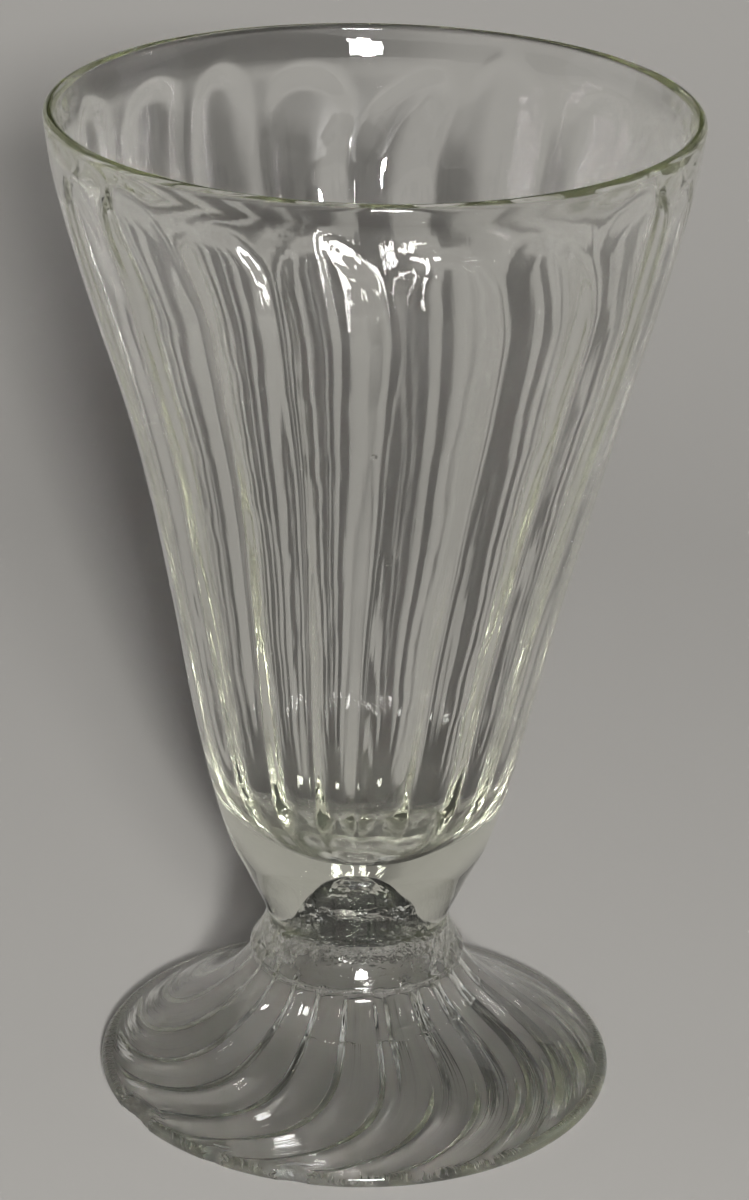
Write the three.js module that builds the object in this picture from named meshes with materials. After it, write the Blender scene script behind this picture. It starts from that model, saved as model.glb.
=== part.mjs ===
// A footed soda-fountain glass in clear pressed glass: a tall fluted bowl, a short waist collar and a
// spreading foot with swirled ribs underneath. A hollow runs up from under the foot, through the collar
// and into the bottom of the bowl. The three were joined hot, and nothing moves.
// Millimetres, +Z up, origin at the centre of the ring that the foot stands on.

import * as THREE from "three";
import { mergeVertices } from "three/addons/utils/BufferGeometryUtils.js";

// Overall sizes
const GLASS_HEIGHT = 168;
const RIM_RADIUS = 51.65;
const FOOT_RADIUS = 43.15;

// The two hot joins
const FOOT_JOIN_HEIGHT = 22;
const FOOT_JOIN_RADIUS = 17.2;
const WAIST_HEIGHT = 29.5;
const WAIST_RADIUS = 15.2;

// Collar
const COLLAR_OVERHANG = 0.8;
const COLLAR_BAND_HEIGHT = 1.6;

// Bowl walls and cavity
const LIP_THICKNESS = 2.1;
const WALL_BELOW_LIP = 3;
const WALL_AT_FLOOR = 5.2;
const CAVITY_FLOOR_HEIGHT = 44.4;
const CAVITY_ROUNDING_HEIGHT = 15;

// Flutes inside the bowl
const FLUTE_COUNT = 18;
const FLUTE_DEPTH = 1.2;
const PLAIN_BAND_HEIGHT = 5;
const FLUTE_ARCH_HEIGHT = 7;
const FLUTE_RUN_IN = 4;
const FLUTE_FOOT_FADE = 14;
const FLUTE_LEAN_DEGREES = 6;
const FLUTE_TOP_BEND_DEGREES = 5;
const FLUTE_TOP_BEND_HEIGHT = 24;

// Foot
const FOOT_EDGE_THICKNESS = 2.4;
const REST_RING_WIDTH = 1.4;
const UNDERSIDE_POWER = 1.4;
const RIB_COUNT = 20;
const RIB_DEPTH = 1.9;
const RIB_RUN_IN = 3;
const RIB_SWIRL_DEGREES = 54;

// The hollow that runs up from under the foot
const HOLLOW_MOUTH_RADIUS = 18;
const HOLLOW_MOUTH_HEIGHT = 12.5;
const BOTTOM_THICKNESS = 2.2;

// How finely each piece is cut: columns to a flute or rib, and rows along a profile
const COLUMNS_PER_FLUTE = 4;
const COLUMNS_PER_RIB = 6;
const OUTER_ROWS = 15;
const INNER_ROWS = 11;
const ARCH_ROWS = 6;
const ROUNDING_ROWS = 5;
const LIP_ROWS = 4;
const UNDERSIDE_ROWS = 9;
const FOOT_TOP_ROWS = 7;
const EDGE_ROWS = 6;
const DOME_ROWS = 7;
const HOLLOW_ROWS = 4;

// Points nearer than this to a surface are on it.
const TOUCH = 1e-3;

// Shape of the bowl's outside: share of its height, and share of the way from waist to rim radius.
// A rounded base, a slim middle, a flare, and a lip that turns nearly upright.
const BOWL_CURVE = [
  [0, 0],
  [0.064, 0.11],
  [0.108, 0.187],
  [0.238, 0.318],
  [0.427, 0.466],
  [0.62, 0.635],
  [0.82, 0.856],
  [0.937, 0.967],
  [1, 1],
];

// Shape of the collar's side: share of its height, and share of the way from band to waist radius.
const COLLAR_CURVE = [
  [0, 0],
  [0.3, 0.45],
  [0.65, 0.8],
  [1, 1],
];

// Shape of the hollow: share of its height from the mouth up, and share of its mouth's radius. A flare at
// the mouth, a well through the collar, and a narrow dome that stands up into the bowl's bottom.
const HOLLOW_CURVE = [
  [0, 1],
  [0.084, 0.867],
  [0.185, 0.772],
  [0.32, 0.717],
  [0.4545, 0.644],
  [0.572, 0.456],
  [0.69, 0.35],
  [0.825, 0.3],
  [0.926, 0.217],
  [0.98, 0.111],
  [1, 0],
];

const glassMaterial = (tint) =>
  new THREE.MeshStandardMaterial({ color: tint, roughness: 0.05, metalness: 0 });

const mix = (from, to, share) => from + (to - from) * share;

const smoothStep = (from, to, value) => THREE.MathUtils.smoothstep(value, from, to);

// Evenly spaced values, both ends included.
const spaced = (from, to, count) =>
  Array.from({ length: count + 1 }, (_, step) => mix(from, to, step / count));

// A smooth curve through points with rising first values: cubic pieces whose slopes at a point are
// those of the line between its neighbours.
function curveThrough(points, value) {
  const last = points.length - 1;
  const slopeAt = (index) => {
    const before = points[Math.max(index - 1, 0)];
    const after = points[Math.min(index + 1, last)];
    return (after[1] - before[1]) / (after[0] - before[0]);
  };
  let piece = 0;
  while (piece < last - 1 && value > points[piece + 1][0]) piece += 1;
  const [startX, startY] = points[piece];
  const [endX, endY] = points[piece + 1];
  const width = endX - startX;
  const t = (value - startX) / width;
  const hermiteStart = 2 * t ** 3 - 3 * t ** 2 + 1;
  const hermiteEnd = -2 * t ** 3 + 3 * t ** 2;
  const slopeStart = (t ** 3 - 2 * t ** 2 + t) * width * slopeAt(piece);
  const slopeEnd = (t ** 3 - t ** 2) * width * slopeAt(piece + 1);
  return hermiteStart * startY + hermiteEnd * endY + slopeStart + slopeEnd;
}

// Turns a profile of [radius, height] round the axis, then moves each point by shape(point), which
// takes and returns {angle, radius, height}. The profile runs with the outside on its right.
function turned(name, profile, columns, shape, tint) {
  const lathe = new THREE.LatheGeometry(
    profile.map(([radius, height]) => new THREE.Vector2(radius, height)),
    columns,
  );
  lathe.rotateX(Math.PI / 2);
  lathe.deleteAttribute("normal");
  lathe.deleteAttribute("uv");
  const geometry = mergeVertices(lathe, 1e-4);
  const position = geometry.getAttribute("position");
  for (let index = 0; index < position.count; index += 1) {
    const x = position.getX(index);
    const y = position.getY(index);
    const moved = shape({
      angle: Math.atan2(y, x),
      radius: Math.hypot(x, y),
      height: position.getZ(index),
    });
    position.setXYZ(
      index,
      moved.radius * Math.cos(moved.angle),
      moved.radius * Math.sin(moved.angle),
      moved.height,
    );
  }
  geometry.computeVertexNormals();
  const mesh = new THREE.Mesh(geometry, glassMaterial(tint));
  mesh.name = name;
  return mesh;
}

// How deep a scallop is at an angle: 1 along the middle of each of count scallops, 0 on the ridges.
const scallop = (angle, count) => Math.abs(Math.cos((angle * count) / 2));

// How far an angle lies from the middle of its scallop: 0 in the middle, 1 on the ridge.
const acrossScallop = (angle, count) => (2 * Math.acos(Math.min(scallop(angle, count), 1))) / Math.PI;

const lipRadius = LIP_THICKNESS / 2;
const lipHeight = GLASS_HEIGHT - lipRadius;
const curveHeight = lipHeight - WAIST_HEIGHT;
const cavityRoundingTop = CAVITY_FLOOR_HEIGHT + CAVITY_ROUNDING_HEIGHT;
const fluteTop = GLASS_HEIGHT - PLAIN_BAND_HEIGHT;

function bowlOuterRadius(height) {
  const share = (height - WAIST_HEIGHT) / curveHeight;
  return mix(WAIST_RADIUS, RIM_RADIUS, curveThrough(BOWL_CURVE, share));
}

// The wall thickens quickly over the plain band below the lip, and slowly from there down.
function bowlWall(height) {
  const share = (lipHeight - height) / (lipHeight - CAVITY_FLOOR_HEIGHT);
  const belowLip = smoothStep(0, PLAIN_BAND_HEIGHT, lipHeight - height);
  return mix(LIP_THICKNESS, WALL_BELOW_LIP, belowLip)
    + (WALL_AT_FLOOR - WALL_BELOW_LIP) * share ** 1.5;
}

// The cavity's radius on a ridge: the outside less the wall, closed below by a quarter ellipse.
function cavityRadius(height) {
  const openRadius = bowlOuterRadius(height) - bowlWall(height);
  const below = Math.max(cavityRoundingTop - height, 0) / CAVITY_ROUNDING_HEIGHT;
  return openRadius * Math.sqrt(Math.max(1 - below ** 2, 0));
}

// How far a flute is cut into the wall: full along its run, fading at the base, with an arched top.
function fluteCut(angle, height) {
  const archTop = fluteTop - FLUTE_ARCH_HEIGHT * acrossScallop(angle, FLUTE_COUNT) ** 2;
  const atTop = 1 - smoothStep(archTop - FLUTE_RUN_IN, archTop, height);
  const atBase = smoothStep(CAVITY_FLOOR_HEIGHT, CAVITY_FLOOR_HEIGHT + FLUTE_FOOT_FADE, height);
  return FLUTE_DEPTH * scallop(angle, FLUTE_COUNT) * atTop * atBase;
}

// The flutes lean to one side on the way up, and bend back below the rim.
function fluteTurn(height) {
  const lean = FLUTE_LEAN_DEGREES * ((height - WAIST_HEIGHT) / curveHeight);
  const bend = FLUTE_TOP_BEND_DEGREES * smoothStep(lipHeight - FLUTE_TOP_BEND_HEIGHT, lipHeight, height);
  return THREE.MathUtils.degToRad(lean - bend);
}

const domeTop = CAVITY_FLOOR_HEIGHT - BOTTOM_THICKNESS;

// The hollow's radius at a height between its mouth under the foot and the top of its dome.
function hollowRadius(height) {
  const share = (height - HOLLOW_MOUTH_HEIGHT) / (domeTop - HOLLOW_MOUTH_HEIGHT);
  return HOLLOW_MOUTH_RADIUS * curveThrough(HOLLOW_CURVE, share);
}

const hollowAt = (height) => [hollowRadius(height), height];

function makeBowl() {
  const outside = spaced(WAIST_HEIGHT, lipHeight, OUTER_ROWS)
    .map((height) => [bowlOuterRadius(height), height]);
  const lipCentre = bowlOuterRadius(lipHeight) - lipRadius;
  const lip = spaced(0, Math.PI, LIP_ROWS)
    .slice(1, -1)
    .map((turn) => [lipCentre + lipRadius * Math.cos(turn), lipHeight + lipRadius * Math.sin(turn)]);
  const archBase = fluteTop - FLUTE_ARCH_HEIGHT - FLUTE_RUN_IN;
  const insideHeights = [
    ...spaced(lipHeight, archBase, ARCH_ROWS),
    ...spaced(archBase, cavityRoundingTop, INNER_ROWS).slice(1),
    ...spaced(Math.PI / 2, 0, ROUNDING_ROWS)
      .slice(1)
      .map((turn) => cavityRoundingTop - CAVITY_ROUNDING_HEIGHT * Math.cos(turn)),
  ];
  const inside = insideHeights.map((height) => [cavityRadius(height), height]);
  // The dome's rows lie closer together towards its top.
  const dome = spaced(0, 1, DOME_ROWS)
    .slice(1)
    .map((share) => hollowAt(mix(domeTop, WAIST_HEIGHT, share ** 2)));
  const profile = [
    [0, domeTop],
    ...dome,
    ...outside,
    ...lip,
    ...inside,
  ];
  // Points nearer the axis than the middle of the wall belong to the cavity.
  const isInside = (radius, height) =>
    height > CAVITY_FLOOR_HEIGHT && height < lipHeight
    && radius < bowlOuterRadius(height) - bowlWall(height) / 2;
  const shape = ({ angle, radius, height }) => {
    const cut = isInside(radius, height) ? fluteCut(angle, height) : 0;
    return { angle: angle + fluteTurn(height), radius: radius + cut, height };
  };
  return turned("bowl", profile, FLUTE_COUNT * COLUMNS_PER_FLUTE, shape, 0xdfe5df);
}

function makeCollar() {
  const bandRadius = FOOT_JOIN_RADIUS + COLLAR_OVERHANG;
  const bandTop = FOOT_JOIN_HEIGHT + COLLAR_BAND_HEIGHT;
  const side = COLLAR_CURVE.map(([heightShare, radiusShare]) => [
    mix(bandRadius, WAIST_RADIUS, radiusShare),
    mix(bandTop, WAIST_HEIGHT, heightShare),
  ]);
  const bore = spaced(WAIST_HEIGHT, FOOT_JOIN_HEIGHT, HOLLOW_ROWS).map(hollowAt);
  const profile = [
    hollowAt(FOOT_JOIN_HEIGHT),
    [FOOT_JOIN_RADIUS, FOOT_JOIN_HEIGHT],
    [bandRadius, FOOT_JOIN_HEIGHT + COLLAR_OVERHANG / 2],
    ...side,
    ...bore,
  ];
  return turned("waist_collar", profile, FLUTE_COUNT * COLUMNS_PER_FLUTE, (point) => point, 0xd3dbd4);
}

const edgeRadius = FOOT_EDGE_THICKNESS / 2;
const edgeCentre = FOOT_RADIUS - edgeRadius;
const ringRadius = edgeCentre - REST_RING_WIDTH;

// Top of the foot: nearly a straight cone near the edge that steepens into the collar.
function footTop(radius) {
  const inward = (edgeCentre - radius) / (edgeCentre - FOOT_JOIN_RADIUS);
  const rise = 0.43 * inward + 0.44 * inward ** 2 + 0.13 * inward ** 6;
  return mix(FOOT_EDGE_THICKNESS, FOOT_JOIN_HEIGHT, rise);
}

// Underside of the foot outside the hollow's mouth: a cone that flattens towards the resting ring.
function undersideHeight(radius) {
  const inward = (ringRadius - radius) / (ringRadius - HOLLOW_MOUTH_RADIUS);
  return HOLLOW_MOUTH_HEIGHT * inward ** UNDERSIDE_POWER;
}

// The ribs run straight down the hollow, then sweep round clockwise towards the edge of the foot.
function ribTurn(radius) {
  const outward = Math.max(radius - HOLLOW_MOUTH_RADIUS, 0) / (FOOT_RADIUS - HOLLOW_MOUTH_RADIUS);
  return -THREE.MathUtils.degToRad(RIB_SWIRL_DEGREES * outward ** 3);
}

// Depth between the ribs: nothing at the join and at the resting ring, full along the run.
function ribCut(angle, radius, height) {
  const acrossRibs = scallop(angle - ribTurn(radius), RIB_COUNT);
  const fromJoin = 1 - smoothStep(FOOT_JOIN_HEIGHT - 2 * RIB_RUN_IN, FOOT_JOIN_HEIGHT, height);
  const fromRing = 1 - smoothStep(ringRadius - RIB_RUN_IN, ringRadius, radius);
  return RIB_DEPTH * acrossRibs * fromJoin * fromRing;
}

function makeFoot() {
  const well = spaced(FOOT_JOIN_HEIGHT, HOLLOW_MOUTH_HEIGHT, HOLLOW_ROWS).slice(0, -1).map(hollowAt);
  const underside = spaced(HOLLOW_MOUTH_RADIUS, ringRadius, UNDERSIDE_ROWS)
    .map((radius) => [radius, undersideHeight(radius)]);
  const edge = spaced(-Math.PI / 2, Math.PI / 2, EDGE_ROWS)
    .slice(0, -1)
    .map((turn) => [edgeCentre + edgeRadius * Math.cos(turn), edgeRadius + edgeRadius * Math.sin(turn)]);
  const top = spaced(edgeCentre, FOOT_JOIN_RADIUS, FOOT_TOP_ROWS).map((radius) => [radius, footTop(radius)]);
  const profile = [...well, ...underside, ...edge, ...top, well[0]];
  const isInWell = (radius, height) =>
    height > HOLLOW_MOUTH_HEIGHT && height < FOOT_JOIN_HEIGHT && radius <= hollowRadius(height) + TOUCH;
  const isUnderside = (radius, height) =>
    radius >= HOLLOW_MOUTH_RADIUS - TOUCH && radius < ringRadius && height <= undersideHeight(radius) + TOUCH;
  // The cut goes outwards in the well and upwards under the foot, and turns from one to the other
  // across the mouth.
  const shape = ({ angle, radius, height }) => {
    const hollowed = isInWell(radius, height) || isUnderside(radius, height);
    const cut = hollowed ? ribCut(angle, radius, height) : 0;
    const pastMouth = radius - HOLLOW_MOUTH_RADIUS + HOLLOW_MOUTH_HEIGHT - height;
    const upwards = smoothStep(-RIB_RUN_IN, RIB_RUN_IN, pastMouth);
    return {
      angle,
      radius: radius + cut * (1 - upwards),
      height: height + cut * upwards,
    };
  };
  return turned("foot", profile, RIB_COUNT * COLUMNS_PER_RIB, shape, 0xc8d2ca);
}

const glass = new THREE.Group();
glass.add(makeBowl(), makeCollar(), makeFoot());

export default glass;
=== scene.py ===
"""Footed soda-fountain glass in clear pressed glass, with its studio floor, lights and camera."""

import math

import bpy
import numpy as np
from mathutils import Euler, Matrix, Vector


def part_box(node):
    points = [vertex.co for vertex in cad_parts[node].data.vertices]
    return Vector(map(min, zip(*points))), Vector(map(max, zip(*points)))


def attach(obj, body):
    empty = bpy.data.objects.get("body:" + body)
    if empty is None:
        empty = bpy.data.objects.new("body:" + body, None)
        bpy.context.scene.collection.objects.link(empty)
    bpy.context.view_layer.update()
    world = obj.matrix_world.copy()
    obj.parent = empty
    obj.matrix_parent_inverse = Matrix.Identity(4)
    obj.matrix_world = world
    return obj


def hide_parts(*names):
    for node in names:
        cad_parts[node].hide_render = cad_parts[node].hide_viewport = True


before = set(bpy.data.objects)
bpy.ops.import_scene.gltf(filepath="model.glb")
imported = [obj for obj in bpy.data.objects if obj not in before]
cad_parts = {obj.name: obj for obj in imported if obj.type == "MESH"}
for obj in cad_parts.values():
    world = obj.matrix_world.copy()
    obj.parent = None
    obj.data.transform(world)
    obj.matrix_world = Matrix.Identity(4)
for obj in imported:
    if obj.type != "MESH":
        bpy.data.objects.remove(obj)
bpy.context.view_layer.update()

bl_info = {
    "name": "Footed soda glass",
    "version": (1, 0, 0),
    "blender": (4, 5, 0),
    "location": "View3D > Sidebar > Soda glass",
    "description": "Makes a fluted, footed soda-fountain glass and a small studio for it",
    "category": "Add Mesh",
}

MM = 0.001
FULL_TURN = 2.0 * math.pi

BOWL_LOW, BOWL_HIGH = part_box("bowl")
COLLAR_LOW, COLLAR_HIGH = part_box("waist_collar")
FOOT_LOW, FOOT_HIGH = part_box("foot")

# Stretches of the outline, in order from the top of the hollow stem round to the cavity's floor.
DOME, WELL, UNDERSIDE, EDGE, CROWN, COLLAR, OUTSIDE, LIP, INSIDE = range(9)

# Share of the bowl's height, and share of the way from waist radius to rim radius.
BOWL_CURVE = (
    (0.0, 0.0), (0.064, 0.11), (0.108, 0.187), (0.238, 0.318), (0.427, 0.466),
    (0.62, 0.635), (0.82, 0.856), (0.937, 0.967), (1.0, 1.0),
)

# Share of the collar's side, from its band up, and share of the way from band to waist radius.
COLLAR_CURVE = ((0.0, 0.0), (0.3, 0.45), (0.65, 0.8), (1.0, 1.0))

# Share of the stem hollow's height, from its mouth up, and share of its mouth's radius: a flare at the
# mouth, a well through the collar, and a narrow dome that stands up into the bowl's bottom.
HOLLOW_CURVE = (
    (0.0, 1.0), (0.084, 0.867), (0.185, 0.772), (0.32, 0.717), (0.4545, 0.644), (0.572, 0.456),
    (0.69, 0.35), (0.825, 0.30), (0.926, 0.217), (0.98, 0.111), (1.0, 0.0),
)

# Chips out of the foot's edge: place round the foot in degrees, half width and depth. Then the height
# below which they bite, and how deep they are at the foot of the edge, as a share.
CHIPS = ((-148.0, 4.6 * MM, 1.5 * MM), (-122.0, 1.9 * MM, 0.8 * MM), (-103.0, 2.8 * MM, 1.0 * MM))
CHIP_REACH = 4.5 * MM
CHIP_BOTTOM_SHARE = 0.35

# The ripple across a chip: its size, and its angle in radians across half a chip and per metre up.
CHIP_RIPPLE = (0.22, 7.0, 900.0)


# ---------------------------------------------------------------- settings

class BowlSettings(bpy.types.PropertyGroup):
    """Sizes of the bowl and of the flutes inside it."""

    rim_radius: bpy.props.FloatProperty(
        name="Rim radius", description="Outer radius of the lip",
        default=float(BOWL_HIGH[0]), unit="LENGTH",
    )
    waist_radius: bpy.props.FloatProperty(
        name="Waist radius", description="Radius of the narrowest part, where bowl and collar join",
        default=15.2 * MM, unit="LENGTH",
    )
    lip_thickness: bpy.props.FloatProperty(
        name="Lip thickness", description="Thickness of the rounded lip",
        default=2.1 * MM, unit="LENGTH",
    )
    band_wall: bpy.props.FloatProperty(
        name="Wall below the lip", description="Wall thickness at the foot of the plain band",
        default=3.0 * MM, unit="LENGTH",
    )
    floor_wall: bpy.props.FloatProperty(
        name="Wall at the floor", description="Wall thickness beside the floor of the cavity",
        default=5.2 * MM, unit="LENGTH",
    )
    floor_height: bpy.props.FloatProperty(
        name="Floor height", description="Height of the cavity's floor above the table",
        default=44.4 * MM, unit="LENGTH",
    )
    bottom_thickness: bpy.props.FloatProperty(
        name="Bottom thickness", description="Glass between the cavity's floor and the hollow stem",
        default=2.2 * MM, unit="LENGTH",
    )
    flute_count: bpy.props.IntProperty(
        name="Flutes", description="Number of flutes round the inside", default=18, min=3,
    )
    flute_depth: bpy.props.FloatProperty(
        name="Flute depth", description="Depth of a flute along its middle",
        default=1.2 * MM, unit="LENGTH",
    )
    plain_band: bpy.props.FloatProperty(
        name="Plain band", description="Smooth band between the flutes' arches and the lip",
        default=5.0 * MM, unit="LENGTH",
    )
    flute_lean: bpy.props.FloatProperty(
        name="Flute lean", description="Turn of a flute between the waist and the rim",
        default=math.radians(6.0), unit="ROTATION",
    )
    flute_bend: bpy.props.FloatProperty(
        name="Flute bend", description="Turn back of a flute just below the rim",
        default=math.radians(5.0), unit="ROTATION",
    )


class FootSettings(bpy.types.PropertyGroup):
    """Sizes of the collar, the foot and the ribs under it."""

    foot_radius: bpy.props.FloatProperty(
        name="Foot radius", description="Outer radius of the foot",
        default=float(FOOT_HIGH[0]), unit="LENGTH",
    )
    edge_thickness: bpy.props.FloatProperty(
        name="Edge thickness", description="Thickness of the foot's rounded edge",
        default=2.4 * MM, unit="LENGTH",
    )
    ring_width: bpy.props.FloatProperty(
        name="Resting ring", description="Width of the flat ring that the glass stands on",
        default=1.4 * MM, unit="LENGTH",
    )
    mouth_radius: bpy.props.FloatProperty(
        name="Stem hollow radius", description="Radius of the stem's hollow at the underside",
        default=18.0 * MM, unit="LENGTH",
    )
    mouth_height: bpy.props.FloatProperty(
        name="Stem hollow height", description="Height of the stem hollow's mouth above the table",
        default=12.5 * MM, unit="LENGTH",
    )
    rib_count: bpy.props.IntProperty(
        name="Ribs", description="Number of swirled ribs under the foot", default=20, min=3,
    )
    rib_depth: bpy.props.FloatProperty(
        name="Rib depth", description="Depth of the hollow between two ribs",
        default=1.9 * MM, unit="LENGTH",
    )
    rib_swirl: bpy.props.FloatProperty(
        name="Rib swirl", description="Turn of a rib between the stem and the edge of the foot",
        default=math.radians(54.0), unit="ROTATION",
    )


class FinishSettings(bpy.types.PropertyGroup):
    """Look of the glass."""

    # Glass colour kept just below white: this dims everything seen through the glass, painted shade
    # standing in for the glass's own shadow behind it
    glass_colour_and_painted_shade: bpy.props.FloatVectorProperty(
        name="Surface colour", description="Share of the light that gets through a wall's two surfaces",
        default=(0.96, 0.96, 0.95), subtype="COLOR", min=0.0, max=1.0,
    )
    tint: bpy.props.FloatVectorProperty(
        name="Tint", description="Colour that thick glass takes on",
        default=(0.72, 0.755, 0.50), subtype="COLOR", min=0.0, max=1.0,
    )
    tint_density: bpy.props.FloatProperty(
        name="Tint density", description="How fast the tint builds up, per metre of glass",
        default=9.0, min=0.0,
    )
    refraction: bpy.props.FloatProperty(
        name="Index of refraction", description="Index of refraction of soda-lime glass",
        default=1.51, min=1.0,
    )


class StageSettings(bpy.types.PropertyGroup):
    """Floor, lights and camera."""

    floor_colour: bpy.props.FloatVectorProperty(
        name="Floor colour", description="Colour of the plain floor",
        default=(0.44, 0.425, 0.40), subtype="COLOR", min=0.0, max=1.0,
    )
    key_power: bpy.props.FloatProperty(
        name="Key power", description="Power of the small light behind the camera", default=76.0,
        unit="POWER",
    )
    soft_power: bpy.props.FloatProperty(
        name="Soft power", description="Power of the broad light above the key light", default=48.0,
        unit="POWER",
    )
    fill_power: bpy.props.FloatProperty(
        name="Fill power", description="Power of the large light overhead", default=0.3, unit="POWER",
    )
    side_power: bpy.props.FloatProperty(
        name="Side power", description="Power of each of the two lights at the sides",
        default=0.4, unit="POWER",
    )


# ---------------------------------------------------------------- curves and grids

def smooth_step(start, end, value):
    """0 below start, 1 above end, and the cubic 3t^2 - 2t^3 between them."""
    t = np.clip((value - start) / (end - start), 0.0, 1.0)
    return t * t * (3.0 - 2.0 * t)


def steps(start, end, count):
    """Evenly spaced values from start to end, without start itself."""
    return np.linspace(start, end, count + 1)[1:]


def curve_through(points, value):
    """Smooth curve through points: cubic pieces, each point's slope being that of the line between
    its two neighbours."""
    points = np.asarray(points, dtype=float)
    x, y = points[:, 0], points[:, 1]
    before = np.maximum(np.arange(len(x)) - 1, 0)
    after = np.minimum(np.arange(len(x)) + 1, len(x) - 1)
    slope = (y[after] - y[before]) / (x[after] - x[before])
    piece = np.clip(np.searchsorted(x, value, side="right") - 1, 0, len(x) - 2)
    width = x[piece + 1] - x[piece]
    t = (value - x[piece]) / width
    return (
        (2 * t**3 - 3 * t**2 + 1) * y[piece]
        + (3 * t**2 - 2 * t**3) * y[piece + 1]
        + (t**3 - 2 * t**2 + t) * width * slope[piece]
        + (t**3 - t**2) * width * slope[piece + 1]
    )


def scallop(angle, count, ridge):
    """Depth of count scallops round a circle: |cos| of half the repeated angle, 1 along a scallop's
    middle and 0 on a ridge, with the ridge rounded off by the ridge value."""
    wave = np.cos(0.5 * count * angle)
    low = ridge / math.sqrt(1.0 + ridge * ridge)
    return (np.sqrt(wave * wave + ridge * ridge) / math.sqrt(1.0 + ridge * ridge) - low) / (1.0 - low)


def across_scallop(angle, count):
    """How far an angle lies from the middle of its scallop: 0 in the middle, 1 on the ridge."""
    return 2.0 / math.pi * np.arccos(np.clip(np.abs(np.cos(0.5 * count * angle)), 0.0, 1.0))


def grid_faces(rows, columns):
    """Corner indices of the quads of a grid whose columns close into a ring."""
    row = np.arange(rows - 1)[:, None]
    column = np.arange(columns)[None, :]
    beside = (column + 1) % columns
    corners = (row * columns + column, row * columns + beside, (row + 1) * columns + beside,
               (row + 1) * columns + column)
    return np.stack([np.broadcast_to(c, (rows - 1, columns)) for c in corners], axis=-1).reshape(-1, 4)


def closed_skin(rows, columns, first_pole, last_pole):
    """Quads of a closed ring grid and the two fans that shut it at its poles, as index arrays."""
    quads = grid_faces(rows, columns)
    ring = np.arange(columns)
    beside = (ring + 1) % columns
    last = (rows - 1) * columns
    start_fan = np.stack([np.full(columns, first_pole), beside, ring], axis=-1)
    end_fan = np.stack([np.full(columns, last_pole), last + ring, last + beside], axis=-1)
    return quads, np.concatenate([start_fan, end_fan])


def fill_mesh(name, points, quads, triangles):
    """A smooth-shaded mesh from arrays of points, quads and triangles."""
    mesh = bpy.data.meshes.new(name)
    corners = np.concatenate([quads.ravel(), triangles.ravel()]).astype(np.int32)
    totals = np.concatenate([np.full(len(quads), 4), np.full(len(triangles), 3)])
    starts = np.concatenate([[0], np.cumsum(totals)[:-1]]).astype(np.int32)
    mesh.vertices.add(len(points))
    mesh.vertices.foreach_set("co", np.asarray(points, dtype=np.float32).ravel())
    mesh.loops.add(len(corners))
    mesh.loops.foreach_set("vertex_index", corners)
    mesh.polygons.add(len(totals))
    mesh.polygons.foreach_set("loop_start", starts)
    mesh.update(calc_edges=True)
    mesh.validate()
    mesh.shade_smooth()
    return mesh


def show(mesh, material):
    """Puts a mesh in the scene under its own name, with one material."""
    made = bpy.data.objects.new(mesh.name, mesh)
    bpy.context.scene.collection.objects.link(made)
    mesh.materials.append(material)
    return made


# ---------------------------------------------------------------- the glass

CAVITY_ROUNDING = 15.0 * MM
FLUTE_ARCH = 7.0 * MM
FLUTE_RUN_IN = 4.0 * MM
FLUTE_FADE = 14.0 * MM
FLUTE_ROUNDING = 0.16
BEND_HEIGHT = 24.0 * MM
COLLAR_OVERHANG = 0.8 * MM
COLLAR_BAND = 1.6 * MM
RIB_RUN_IN = 3.0 * MM
RIB_ROUNDING = 0.4
RIB_SKEW = 0.7
RIPPLE_RUN_IN = 20.0 * MM

# Powers that bend the underside and the wall's growth, and that bunch the rows of dome and outside.
UNDERSIDE_POWER = 1.4
WALL_POWER = 1.5
DOME_POWER = 2.0
OUTSIDE_POWER = 1.25

# Shares of the first, second and sixth powers in the foot's top.
CROWN_SHARES = (0.43, 0.44, 0.13)

# The grid: columns round the glass, and rows along each part of the outline.
COLUMNS = 288
DOME_ROWS, WELL_ROWS, UNDERSIDE_ROWS, RING_ROWS, EDGE_ROWS, CROWN_ROWS = 18, 25, 55, 4, 16, 28
BAND_ROWS, SIDE_ROWS, OUTSIDE_ROWS, LIP_ROWS, INSIDE_ROWS, ROUNDING_ROWS = 5, 17, 50, 13, 86, 29


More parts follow.
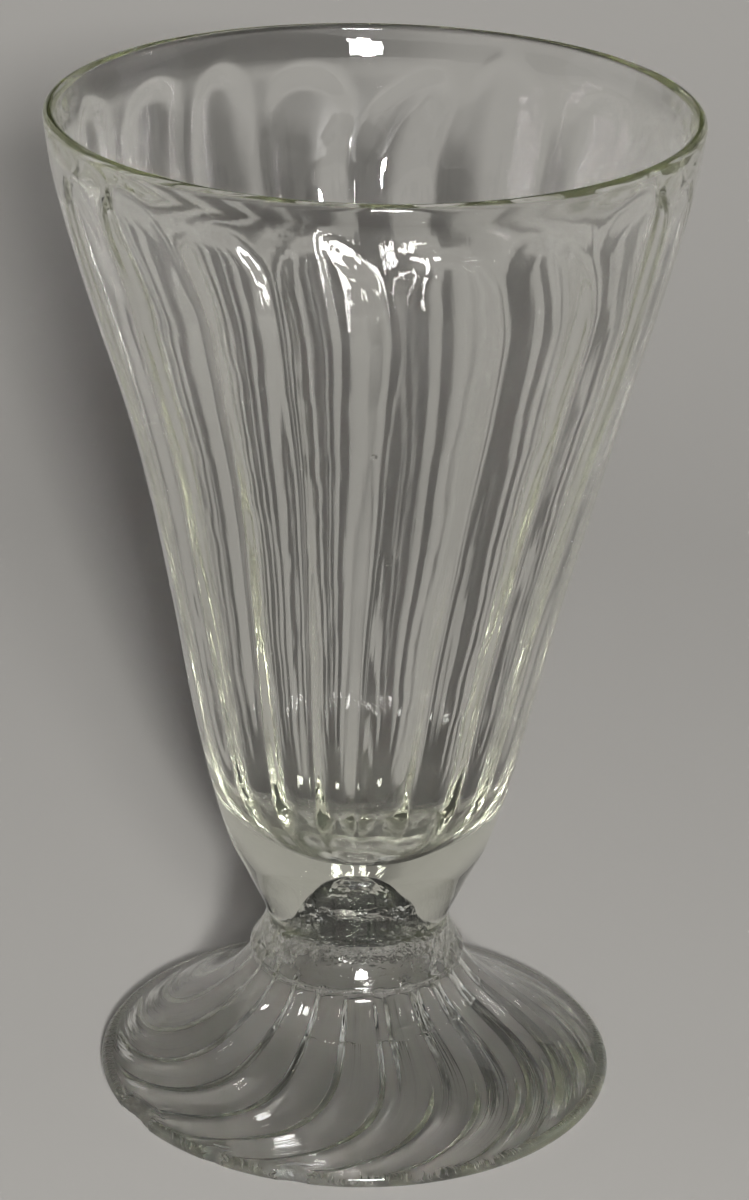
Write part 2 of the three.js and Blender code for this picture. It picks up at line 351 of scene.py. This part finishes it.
class Outline:
    """Radii and heights of the glass's parts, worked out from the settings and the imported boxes."""

    def __init__(self, bowl, foot):
        self.bowl = bowl
        self.foot = foot
        self.waist = float(BOWL_LOW[2])
        self.join = float(COLLAR_LOW[2])
        self.join_radius = float(COLLAR_HIGH[0]) - COLLAR_OVERHANG
        self.lip_radius = 0.5 * bowl.lip_thickness
        self.lip_height = float(BOWL_HIGH[2]) - self.lip_radius
        self.cavity_floor = bowl.floor_height
        self.rounding_top = self.cavity_floor + CAVITY_ROUNDING
        self.flute_top = float(BOWL_HIGH[2]) - bowl.plain_band
        self.edge_radius = 0.5 * foot.edge_thickness
        self.edge_centre = foot.foot_radius - self.edge_radius
        self.hollow_radius = self.edge_centre - foot.ring_width
        self.dome_height = self.cavity_floor - bowl.bottom_thickness

    def outer_radius(self, height):
        """Waist radius plus the bowl curve's share of the way to the rim radius."""
        share = (height - self.waist) / (self.lip_height - self.waist)
        reach = self.bowl.rim_radius - self.bowl.waist_radius
        return self.bowl.waist_radius + reach * curve_through(BOWL_CURVE, share)

    def wall(self, height):
        """Lip thickness, growing smoothly to the band's wall over the plain band, and from there to
        the floor's wall with the wall power of the way down."""
        bowl = self.bowl
        down = np.clip((self.lip_height - height) / (self.lip_height - self.cavity_floor), 0.0, 1.0)
        below_lip = smooth_step(0.0, bowl.plain_band, self.lip_height - height)
        return (bowl.lip_thickness + (bowl.band_wall - bowl.lip_thickness) * below_lip
                + (bowl.floor_wall - bowl.band_wall) * down**WALL_POWER)

    def cavity_radius(self, height):
        """Outer radius less the wall, closed at the bottom by a quarter of an ellipse."""
        below = np.clip((self.rounding_top - height) / CAVITY_ROUNDING, 0.0, 1.0)
        return (self.outer_radius(height) - self.wall(height)) * np.sqrt(1.0 - below**2)

    def hollow_stem_radius(self, height):
        """The mouth's radius times the hollow curve's share at a height between mouth and dome top."""
        share = (height - self.foot.mouth_height) / (self.dome_height - self.foot.mouth_height)
        return self.foot.mouth_radius * curve_through(HOLLOW_CURVE, share)

    def crown_height(self, radius):
        """A shallow cone at the edge that steepens into the collar: shares of the first, second and
        sixth powers of the way inwards."""
        inward = (self.edge_centre - radius) / (self.edge_centre - self.join_radius)
        straight, bent, steep = CROWN_SHARES
        rise = straight * inward + bent * inward**2 + steep * inward**6
        return self.foot.edge_thickness + (self.join - self.foot.edge_thickness) * rise

    def rows(self):
        """The outline's points in order, as arrays of radius, height and stretch. Rows lie closer
        together at the dome's top and at the bowl's waist, and evenly elsewhere."""
        foot, pi = self.foot, math.pi
        dome_depth = self.dome_height - self.waist
        dome = self.dome_height - dome_depth * steps(0.0, 1.0, DOME_ROWS) ** DOME_POWER
        well = steps(self.waist, foot.mouth_height, WELL_ROWS)
        underside = steps(foot.mouth_radius, self.hollow_radius, UNDERSIDE_ROWS)
        outward = (underside - foot.mouth_radius) / (self.hollow_radius - foot.mouth_radius)
        ring = steps(self.hollow_radius, self.edge_centre, RING_ROWS)
        edge = steps(-pi / 2, pi / 2, EDGE_ROWS)
        crown = steps(self.edge_centre, self.join_radius, CROWN_ROWS)
        band_radius = self.join_radius + COLLAR_OVERHANG
        band_round = 0.5 * COLLAR_BAND
        band = steps(-pi / 2, 0.0, BAND_ROWS)
        band_height = self.join + band_round
        side = steps(0.0, 1.0, SIDE_ROWS)
        side_reach = self.bowl.waist_radius - band_radius
        bowl_height = self.lip_height - self.waist
        outside = self.waist + bowl_height * steps(0.0, 1.0, OUTSIDE_ROWS) ** OUTSIDE_POWER
        lip = steps(0.0, pi, LIP_ROWS)
        lip_centre = self.outer_radius(self.lip_height) - self.lip_radius
        inside = steps(self.lip_height, self.rounding_top, INSIDE_ROWS)
        rounding = self.rounding_top - CAVITY_ROUNDING * np.cos(steps(pi / 2, 0.0, ROUNDING_ROWS)[:-1])
        parts = (
            (self.hollow_stem_radius(dome), dome, DOME),
            (self.hollow_stem_radius(well), well, WELL),
            (underside, foot.mouth_height * (1.0 - outward) ** UNDERSIDE_POWER, UNDERSIDE),
            (ring, np.zeros_like(ring), EDGE),
            (self.edge_centre + self.edge_radius * np.cos(edge),
             self.edge_radius * (1.0 + np.sin(edge)), EDGE),
            (crown, self.crown_height(crown), CROWN),
            (band_radius + band_round * (np.cos(band) - 1.0), band_height + band_round * np.sin(band),
             COLLAR),
            (band_radius + side_reach * curve_through(COLLAR_CURVE, side),
             band_height + (self.waist - band_height) * side, COLLAR),
            (self.outer_radius(outside), outside, OUTSIDE),
            (lip_centre + self.lip_radius * np.cos(lip),
             self.lip_height + self.lip_radius * np.sin(lip), LIP),
            (self.cavity_radius(inside), inside, INSIDE),
            (self.cavity_radius(rounding), rounding, INSIDE),
        )
        radius = np.concatenate([part[0] for part in parts])
        height = np.concatenate([part[1] for part in parts])
        stretch = np.concatenate([np.full(len(part[0]), part[2]) for part in parts])
        return radius, height, stretch

    def flute_cut(self, angle, height):
        """Depth of the flutes at each angle and height: scalloped round the wall, fading at the base,
        and ended above by arches, lower at the ridges by the square of the way across."""
        count = self.bowl.flute_count
        arch_top = self.flute_top - FLUTE_ARCH * across_scallop(angle, count) ** 2
        at_top = 1.0 - smooth_step(arch_top - FLUTE_RUN_IN, arch_top, height)
        at_base = smooth_step(self.cavity_floor, self.cavity_floor + FLUTE_FADE, height)
        return self.bowl.flute_depth * scallop(angle, count, FLUTE_ROUNDING) * at_top * at_base

    def flute_turn(self, height):
        """The flutes' turn at a height: an even lean, less a bend back below the rim."""
        lean = self.bowl.flute_lean * (height - self.waist) / (self.lip_height - self.waist)
        near_top = smooth_step(self.lip_height - BEND_HEIGHT, self.lip_height, height)
        return lean - self.bowl.flute_bend * near_top

    def rib_cut(self, angle, radius, height):
        """Depth between the ribs: scalloped, with its deepest line moved to one side so that one
        flank is wide and the other steep, growing from nothing at the join down the stem's hollow,
        and ending short of the resting ring."""
        count = self.foot.rib_count
        skewed = angle + RIB_SKEW * (1.0 + np.cos(count * angle)) / count
        from_stem = 1.0 - smooth_step(self.join - 2.0 * RIB_RUN_IN, self.join, height)
        from_ring = 1.0 - smooth_step(self.hollow_radius - RIB_RUN_IN, self.hollow_radius, radius)
        return self.foot.rib_depth * scallop(skewed, count, RIB_ROUNDING) * from_stem * from_ring

    def rib_turn(self, radius):
        """The ribs' turn at a radius: the cube of the way from the stem to the edge."""
        outward = np.maximum(radius - self.foot.mouth_radius, 0.0)
        return -self.foot.rib_swirl * (outward / (self.foot.foot_radius - self.foot.mouth_radius)) ** 3


# Unevenness, as sines: size, waves round the glass, waves per metre of height and starting angle.
# The first three turn the flutes just below the rim, turn them all the way, and raise and lower their
# arches. The last two move the whole wall, and the cavity's side of it alone.
TOP_SWAY = ((0.050, 5, 0.0, 1.0), (0.036, 8, 0.0, 2.6))
FLUTE_DRIFT = ((0.020, 3, 0.0, 0.4), (0.016, 5, 2.0, 2.1), (0.010, 7, 5.0, 4.0))
ARCH_DRIFT = ((1.3 * MM, 4, 0.0, 1.0), (0.9 * MM, 7, 0.0, 3.3), (0.6 * MM, 11, 0.0, 5.1))
BODY_RIPPLE = ((0.16 * MM, 2, 4.0, 0.6), (0.12 * MM, 3, 9.0, 2.7), (0.05 * MM, 5, 17.0, 4.2))
WALL_RIPPLE = ((0.10 * MM, 4, 13.0, 1.9), (0.07 * MM, 7, 22.0, 0.2), (0.05 * MM, 9, -34.0, 3.8))

# The axis bows sideways by this much at this height, and less with distance from it.
BOW_SIZE = 0.9 * MM
BOW_HEIGHT = 118.0 * MM
BOW_SPREAD = 30.0 * MM


def ripple(angle, height, waves):
    """The sum of the sines in waves, at each angle and height."""
    return sum(size * np.sin(around * angle + FULL_TURN * along * height + start)
               for size, around, along, start in waves)


def chip_bite(outline, angle, radius, height):
    """How far the chips bite into the foot's edge: a round hollow across each chip's width, uneven by
    a short ripple, deeper at the top of the edge than at the bottom."""
    bite = np.zeros(np.broadcast_shapes(angle.shape, radius.shape, height.shape))
    near_edge = smooth_step(outline.hollow_radius, outline.edge_centre, radius) * (height < CHIP_REACH)
    size, turns, climb = CHIP_RIPPLE
    for place, half_width, depth in CHIPS:
        away = (angle - math.radians(place) + math.pi) % FULL_TURN - math.pi
        across = np.abs(away) * outline.foot.foot_radius / half_width
        rough = 1.0 + size * np.sin(turns * across + climb * height)
        bite += depth * np.sqrt(np.clip(1.0 - across**2, 0.0, 1.0)) * rough * near_edge
    up_edge = smooth_step(0.0, outline.foot.edge_thickness, height)
    return bite * (CHIP_BOTTOM_SHARE + (1.0 - CHIP_BOTTOM_SHARE) * up_edge)


def bow(height):
    """How far the axis has moved sideways at a height: a bell curve round the bow's height."""
    return BOW_SIZE * np.exp(-(((height - BOW_HEIGHT) / BOW_SPREAD) ** 2))


def glass_mesh(bowl, foot):
    """The outline turned about the axis on a grid of rows by columns. Flutes push the cavity's wall
    outwards. Ribs push the stem's hollow outwards and the underside upwards, and turn smoothly from
    one to the other across the hollow's mouth. Each row is turned so that the grid follows them.
    Ripples, a slight bow of the axis and chips make it hand finished."""
    outline = Outline(bowl, foot)
    radius, height, stretch = (part[:, None] for part in outline.rows())
    angle = np.linspace(0.0, FULL_TURN, COLUMNS, endpoint=False)[None, :]
    turn = np.where(height > outline.join, outline.flute_turn(np.maximum(height, outline.waist)),
                    outline.rib_turn(radius))

    near_top = smooth_step(outline.lip_height - BEND_HEIGHT, outline.lip_height, height)
    flute_angle = (angle + ripple(angle, height, FLUTE_DRIFT)
                   + near_top * ripple(angle, height, TOP_SWAY))
    arch_drift = ripple(angle, height, ARCH_DRIFT) * (height > outline.rounding_top)
    flute = outline.flute_cut(flute_angle, height + arch_drift) * (stretch == INSIDE)

    rib = outline.rib_cut(angle, radius, height) * ((stretch == WELL) | (stretch == UNDERSIDE))
    past_mouth = radius - foot.mouth_radius + foot.mouth_height - height
    upwards = smooth_step(-RIB_RUN_IN, RIB_RUN_IN, past_mouth)

    in_bowl = smooth_step(outline.waist, outline.waist + RIPPLE_RUN_IN, height) * (stretch > UNDERSIDE)
    uneven = (ripple(angle, height, BODY_RIPPLE)
              + (stretch == INSIDE) * ripple(angle, height, WALL_RIPPLE))
    radius = radius + flute + rib * (1.0 - upwards) + in_bowl * uneven
    height = height + rib * upwards

    around = angle + turn
    bite = chip_bite(outline, around, radius, height)
    radius = radius - bite
    points = np.stack(
        [radius * np.cos(around) + bow(height), radius * np.sin(around), height], axis=-1)
    rows, columns = height.shape
    poles = [[0.0, 0.0, outline.dome_height], [0.0, 0.0, outline.cavity_floor]]
    quads, triangles = closed_skin(rows, columns, rows * columns, rows * columns + 1)
    mesh = fill_mesh("glass_body", np.concatenate([points.reshape(-1, 3), poles]), quads, triangles)
    mark_surface(mesh, outline, angle, height, stretch, bite)
    return mesh


# How strongly striations show on the wall, under the foot and in the well, and how far below the lip
# they reach full strength. How strongly pebbles show on the cavity's floor and in the dome, and over
# what heights they fade. How worn the resting ring is, and how deep a chip is fully rough.
WALL_STRIATIONS, FOOT_STRIATIONS, WELL_STRIATIONS = 1.0, 7.0, 0.8
STRIATION_RUN_IN = 4.0 * MM
FLOOR_PEBBLES, DOME_PEBBLES = 0.3, 1.0
FLOOR_PEBBLE_FADE = 6.0 * MM
DOME_PEBBLE_FADE = 2.0 * MM
RING_WEAR = 0.55
RING_WEAR_HEIGHT = 0.5 * MM
ROUGH_CHIP_DEPTH = 0.25 * MM

# The grain of the striations is noise read on a narrow and very short tube, so that it changes round
# the glass and hardly along a flute or a rib.
GRAIN_RADIUS_SHARE = 0.5
GRAIN_HEIGHT_SHARE = 0.02


def mark_surface(mesh, outline, angle, height, stretch, bite):
    """Stores what the glass's material reads at each point: the grain's place, and how drawn, pebbled
    and worn the surface is. Each list ends with the values at the dome's pole and the cavity's."""
    grain_radius = GRAIN_RADIUS_SHARE * outline.bowl.rim_radius
    grain = np.stack(np.broadcast_arrays(
        grain_radius * np.cos(angle), grain_radius * np.sin(angle), GRAIN_HEIGHT_SHARE * height,
    ), axis=-1)
    below_lip = smooth_step(0.0, STRIATION_RUN_IN, outline.lip_height - height)
    drawn = (WALL_STRIATIONS * (stretch == INSIDE) * below_lip
             + FOOT_STRIATIONS * (stretch == UNDERSIDE) + WELL_STRIATIONS * (stretch == WELL))
    off_floor = smooth_step(0.0, FLOOR_PEBBLE_FADE, height - outline.cavity_floor)
    in_dome = smooth_step(outline.join - DOME_PEBBLE_FADE, outline.join, height)
    pebbled = (FLOOR_PEBBLES * (stretch == INSIDE) * (1.0 - off_floor)
               + DOME_PEBBLES * (stretch <= WELL) * in_dome)
    on_ring = (stretch == EDGE) * (1.0 - smooth_step(0.0, RING_WEAR_HEIGHT, height))
    worn = np.clip(np.clip(bite / ROUGH_CHIP_DEPTH, 0.0, 1.0) + RING_WEAR * on_ring, 0.0, 1.0)
    store(mesh, "grain", "FLOAT_VECTOR", "vector",
          np.concatenate([grain.reshape(-1, 3), np.zeros((2, 3))]))
    for name, zone, poles in (
        ("drawn", drawn, (0.0, WALL_STRIATIONS)),
        ("pebbled", pebbled, (DOME_PEBBLES, FLOOR_PEBBLES)),
        ("worn", worn, (0.0, 0.0)),
    ):
        store(mesh, name, "FLOAT", "value", np.concatenate([zone.ravel(), poles]))


def store(mesh, name, kind, field, values):
    """Keeps one value or vector for each point of a mesh, for its material to read."""
    made = mesh.attributes.new(name, kind, "POINT")
    made.data.foreach_set(field, np.asarray(values, dtype=np.float32).ravel())


# ---------------------------------------------------------------- materials

# Layers of the glass's relief: repeats per metre, detail, roughness and height in millimetres.
WAVES = (110.0, 1.0, 0.5, 0.14)
BROAD_STRIATIONS = (620.0, 2.0, 0.6, 0.035)
FINE_STRIATIONS = (1700.0, 2.0, 0.6, 0.014)
PEBBLES = (480.0, 2.0, 0.5, 0.7)
FLAKES = (900.0, 3.0, 0.6, 0.4)

# Seeds: how many per metre, how near a seed's middle its pit starts and ends, and the pit's depth in
# millimetres.
SEEDS_PER_METRE = 42.0
SEED_CORE, SEED_EDGE = 0.008, 0.026
SEED_DEPTH = 0.08

# Smears: repeats per metre, detail and roughness of their noise, where in it they start and are full,
# and the roughness they give. Then the roughness of worn glass, and of the floor.
SMEARS = (38.0, 4.0, 0.65)
SMEAR_START, SMEAR_FULL = 0.52, 0.72
SMEAR_ROUGHNESS = 0.035
WORN_ROUGHNESS = 0.42
FLOOR_ROUGHNESS = 0.9


def new_material(name):
    """An empty node material and its node tree."""
    material = bpy.data.materials.new(name)
    material.use_nodes = True
    material.node_tree.nodes.clear()
    return material, material.node_tree


def attribute(tree, name, output):
    """Reads one of the mesh's own attributes."""
    node = tree.nodes.new("ShaderNodeAttribute")
    node.attribute_type = "GEOMETRY"
    node.attribute_name = name
    return node.outputs[output]


def noise(tree, place, scale, detail, roughness):
    """Smooth noise at a place, with scale in repeats per metre."""
    node = tree.nodes.new("ShaderNodeTexNoise")
    tree.links.new(place, node.inputs["Vector"])
    node.inputs["Scale"].default_value = scale
    node.inputs["Detail"].default_value = detail
    node.inputs["Roughness"].default_value = roughness
    return node.outputs["Fac"]


def combine(tree, operation, first, second):
    """One arithmetic step on two values, either of which may be a number."""
    node = tree.nodes.new("ShaderNodeMath")
    node.operation = operation
    for socket, value in zip(node.inputs, (first, second)):
        if isinstance(value, (int, float)):
            socket.default_value = value
        else:
            tree.links.new(value, socket)
    return node.outputs["Value"]


def ramp(tree, value, low, high, to_low, to_high):
    """Maps a value between low and high smoothly onto another range."""
    node = tree.nodes.new("ShaderNodeMapRange")
    node.interpolation_type = "SMOOTHSTEP"
    tree.links.new(value, node.inputs["Value"])
    ends = {"From Min": low, "From Max": high, "To Min": to_low, "To Max": to_high}
    for name, number in ends.items():
        node.inputs[name].default_value = number
    return node.outputs["Result"]


def relief_layer(tree, place, layer, zone=None):
    """One noise of the relief, in millimetres, times how strongly its zone shows it."""
    *texture, size = layer
    height = combine(tree, "MULTIPLY", noise(tree, place, *texture), size)
    if zone is None:
        return height
    return combine(tree, "MULTIPLY", height, attribute(tree, zone, "Fac"))


def seed_pits(tree, place):
    """Small round pits, in millimetres, where seeds lie just under the surface."""
    cells = tree.nodes.new("ShaderNodeTexVoronoi")
    tree.links.new(place, cells.inputs["Vector"])
    cells.inputs["Scale"].default_value = SEEDS_PER_METRE
    return ramp(tree, cells.outputs["Distance"], SEED_CORE, SEED_EDGE, -SEED_DEPTH, 0.0)


def glass_relief(tree, place):
    """Height of the glass's fine relief in millimetres: slow waves all over, striations along the
    flutes and ribs, pebbling on the cavity's floor and the stem's dome, broken glass in the chips,
    and a few seeds."""
    grain = attribute(tree, "grain", "Vector")
    total = relief_layer(tree, place, WAVES)
    for part in (
        relief_layer(tree, grain, BROAD_STRIATIONS, "drawn"),
        relief_layer(tree, grain, FINE_STRIATIONS, "drawn"),
        relief_layer(tree, place, PEBBLES, "pebbled"),
        relief_layer(tree, place, FLAKES, "worn"),
        seed_pits(tree, place),
    ):
        total = combine(tree, "ADD", total, part)
    return total


def glass_material(finish):
    """Clear glass that takes on an olive-grey tint with thickness. Its roughness comes from faint
    smears, the worn ring under the foot and the chips."""
    material, tree = new_material("clear_glass")
    output = tree.nodes.new("ShaderNodeOutputMaterial")
    surface = tree.nodes.new("ShaderNodeBsdfPrincipled")
    # Base colour a little below white: painted shade that darkens all light passing through the glass
    surface.inputs["Base Color"].default_value = (*finish.glass_colour_and_painted_shade, 1.0)
    surface.inputs["IOR"].default_value = finish.refraction
    surface.inputs["Transmission Weight"].default_value = 1.0
    place = tree.nodes.new("ShaderNodeTexCoord").outputs["Object"]
    smears = ramp(tree, noise(tree, place, *SMEARS), SMEAR_START, SMEAR_FULL, 0.0, SMEAR_ROUGHNESS)
    worn = combine(tree, "MULTIPLY", attribute(tree, "worn", "Fac"), WORN_ROUGHNESS)
    tree.links.new(combine(tree, "ADD", smears, worn), surface.inputs["Roughness"])
    bump = tree.nodes.new("ShaderNodeBump")
    bump.inputs["Strength"].default_value = 1.0
    bump.inputs["Distance"].default_value = MM
    tree.links.new(glass_relief(tree, place), bump.inputs["Height"])
    tree.links.new(bump.outputs["Normal"], surface.inputs["Normal"])
    absorb = tree.nodes.new("ShaderNodeVolumeAbsorption")
    absorb.inputs["Color"].default_value = (*finish.tint, 1.0)
    absorb.inputs["Density"].default_value = finish.tint_density
    tree.links.new(surface.outputs["BSDF"], output.inputs["Surface"])
    tree.links.new(absorb.outputs["Volume"], output.inputs["Volume"])
    return material


def floor_material(colour):
    """Plain matt floor."""
    material, tree = new_material("plain_floor")
    output = tree.nodes.new("ShaderNodeOutputMaterial")
    surface = tree.nodes.new("ShaderNodeBsdfPrincipled")
    surface.inputs["Base Color"].default_value = (*colour, 1.0)
    surface.inputs["Roughness"].default_value = FLOOR_ROUGHNESS
    tree.links.new(surface.outputs["BSDF"], output.inputs["Surface"])
    return material


# ---------------------------------------------------------------- the stage

# The camera: its lens and sensor are in millimetres, as Blender gives them.
CAMERA_PLACE = Vector((0.0, -0.6017, 0.3383))
CAMERA_TILT = math.radians(22.82)
CAMERA_PAN = math.radians(0.155)
CAMERA_ROLL = math.radians(1.33)
CAMERA_LENS = 120.2
SENSOR_SIZE = 36.0
NEAREST_SEEN = 0.01

# The floor: the radius to which it is flat, the radius at which it has reached its slope, its outer
# radius and the slope. Then how far it lies below the glass.
STAGE_FLAT = 0.25
STAGE_TURN = 0.81
STAGE_RADIUS = 1.9
STAGE_SLOPE = 0.45
FLOOR_GAP = 0.2 * MM
FLAT_ROWS, CURVE_ROWS, CONE_ROWS, FLOOR_COLUMNS = 5, 23, 7, 96

# The lights: name, the setting that holds its power, place and width. All face LIT_POINT.
LIGHTS = (
    ("key_light", "key_power", (0.26, -2.36, 0.88), 0.18),
    ("soft_light", "soft_power", (0.26, -2.4, 1.24), 0.62),
    ("fill_light", "fill_power", (0.0, 0.2, 2.0), 1.4),
    ("left_light", "side_power", (-0.85, 0.1, 0.45), 0.55),
    ("right_light", "side_power", (0.85, 0.1, 0.45), 0.55),
)
LIT_POINT = Vector((0.0, 0.0, 0.08))
AIR_STRENGTH = 0.02

# Light may bounce this often inside the glass, and no single bounce may be brighter than this.
GLASS_BOUNCES = 40
BRIGHTEST_BOUNCE = 60.0


def floor_mesh():
    """A floor that is flat under the glass, curves up as a parabola to an even slope, and goes on at
    that slope as a shallow cone. It lies a hair below the glass, so that the resting ring still
    reflects."""
    flat = steps(0.0, STAGE_FLAT, FLAT_ROWS)
    curve = steps(STAGE_FLAT, STAGE_TURN, CURVE_ROWS)
    cone = steps(STAGE_TURN, STAGE_RADIUS, CONE_ROWS)
    rise = 0.5 * STAGE_SLOPE * (curve - STAGE_FLAT) ** 2 / (STAGE_TURN - STAGE_FLAT)
    radius = np.concatenate([flat, curve, cone])[:, None]
    slope = rise[-1] + STAGE_SLOPE * (cone - STAGE_TURN)
    height = np.concatenate([np.zeros(len(flat)), rise, slope])
    angle = np.linspace(0.0, FULL_TURN, FLOOR_COLUMNS, endpoint=False)[None, :]
    points = np.stack(np.broadcast_arrays(
        radius * np.cos(angle), radius * np.sin(angle), height[:, None] - FLOOR_GAP), axis=-1)
    centre = len(radius) * FLOOR_COLUMNS
    quads, triangles = closed_skin(len(radius), FLOOR_COLUMNS, centre, centre)
    points = np.concatenate([points.reshape(-1, 3), [[0.0, 0.0, -FLOOR_GAP]]])
    return fill_mesh("studio_floor", points, quads[:, ::-1], triangles[:FLOOR_COLUMNS, ::-1])


def add_camera():
    """The camera at the viewing angle: tilted down, with a slight roll."""
    data = bpy.data.cameras.new("view_camera")
    data.lens = CAMERA_LENS
    data.sensor_width = SENSOR_SIZE
    data.sensor_fit = "AUTO"
    data.clip_start = NEAREST_SEEN
    camera = bpy.data.objects.new("view_camera", data)
    facing = Euler((math.pi / 2 - CAMERA_TILT, 0.0, -CAMERA_PAN)).to_matrix().to_4x4()
    roll = Matrix.Rotation(CAMERA_ROLL, 4, "Z")
    camera.matrix_world = Matrix.Translation(CAMERA_PLACE) @ facing @ roll
    bpy.context.scene.collection.objects.link(camera)
    bpy.context.scene.camera = camera


def add_area_light(name, place, width, power):
    """A square light at place that faces the lit point."""
    data = bpy.data.lights.new(name, "AREA")
    data.shape = "SQUARE"
    data.size = width
    data.energy = power
    light = bpy.data.objects.new(name, data)
    light.location = place
    light.rotation_euler = (LIT_POINT - Vector(place)).to_track_quat("-Z", "Y").to_euler()
    bpy.context.scene.collection.objects.link(light)
    return light


def set_world(strength):
    """Even neutral surroundings."""
    world = bpy.data.worlds.new("studio_air")
    world.use_nodes = True
    background = world.node_tree.nodes["Background"]
    background.inputs["Color"].default_value = (1.0, 1.0, 1.0, 1.0)
    background.inputs["Strength"].default_value = strength
    bpy.context.scene.world = world


def let_light_through(scene):
    """Lets light bounce about inside the glass until it finds its way out."""
    scene.cycles.max_bounces = GLASS_BOUNCES
    scene.cycles.glossy_bounces = GLASS_BOUNCES
    scene.cycles.transmission_bounces = GLASS_BOUNCES
    scene.cycles.sample_clamp_indirect = BRIGHTEST_BOUNCE


# ---------------------------------------------------------------- operators and panel

class SODAGLASS_OT_glass(bpy.types.Operator):
    """Make the glass: bowl, collar and foot as one fused body"""

    bl_idname = "sodaglass.glass"
    bl_label = "Make the glass"

    def execute(self, context):
        scene = context.scene
        mesh = glass_mesh(scene.sodaglass_bowl, scene.sodaglass_foot)
        body = show(mesh, glass_material(scene.sodaglass_finish))
        body.cycles.is_caustics_caster = True
        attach(body, "root")
        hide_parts("bowl", "waist_collar", "foot")
        return {"FINISHED"}


class SODAGLASS_OT_stage(bpy.types.Operator):
    """Make the floor, the lights and the camera"""

    bl_idname = "sodaglass.stage"
    bl_label = "Make the stage"

    def execute(self, context):
        stage = context.scene.sodaglass_stage
        add_camera()
        floor = show(floor_mesh(), floor_material(stage.floor_colour))
        floor.cycles.is_caustics_receiver = True
        for name, power, place, width in LIGHTS:
            light = add_area_light(name, place, width, getattr(stage, power))
            light.data.cycles.is_caustics_light = name == "key_light"
        set_world(AIR_STRENGTH)
        context.scene.view_settings.view_transform = "Standard"
        let_light_through(context.scene)
        return {"FINISHED"}


class SODAGLASS_PT_panel(bpy.types.Panel):
    """Lists the settings and the operators in the 3D view's sidebar"""

    bl_idname = "SODAGLASS_PT_panel"
    bl_label = "Soda glass"
    bl_space_type = "VIEW_3D"
    bl_region_type = "UI"
    bl_category = "Soda glass"

    def draw(self, context):
        scene = context.scene
        for settings in (scene.sodaglass_bowl, scene.sodaglass_foot, scene.sodaglass_finish,
                         scene.sodaglass_stage):
            for name in settings.bl_rna.properties.keys():
                if name not in {"rna_type", "name"}:
                    self.layout.prop(settings, name)
        self.layout.operator(SODAGLASS_OT_glass.bl_idname)
        self.layout.operator(SODAGLASS_OT_stage.bl_idname)


SETTINGS = {
    "sodaglass_bowl": BowlSettings,
    "sodaglass_foot": FootSettings,
    "sodaglass_finish": FinishSettings,
    "sodaglass_stage": StageSettings,
}
CLASSES = (*SETTINGS.values(), SODAGLASS_OT_glass, SODAGLASS_OT_stage, SODAGLASS_PT_panel)


def register():
    for made in CLASSES:
        bpy.utils.register_class(made)
    for name, group in SETTINGS.items():
        setattr(bpy.types.Scene, name, bpy.props.PointerProperty(type=group))


def unregister():
    for name in SETTINGS:
        delattr(bpy.types.Scene, name)
    for made in reversed(CLASSES):
        bpy.utils.unregister_class(made)


def main():
    register()
    bpy.ops.sodaglass.stage()
    bpy.ops.sodaglass.glass()


if __name__ == "__main__":
    main()
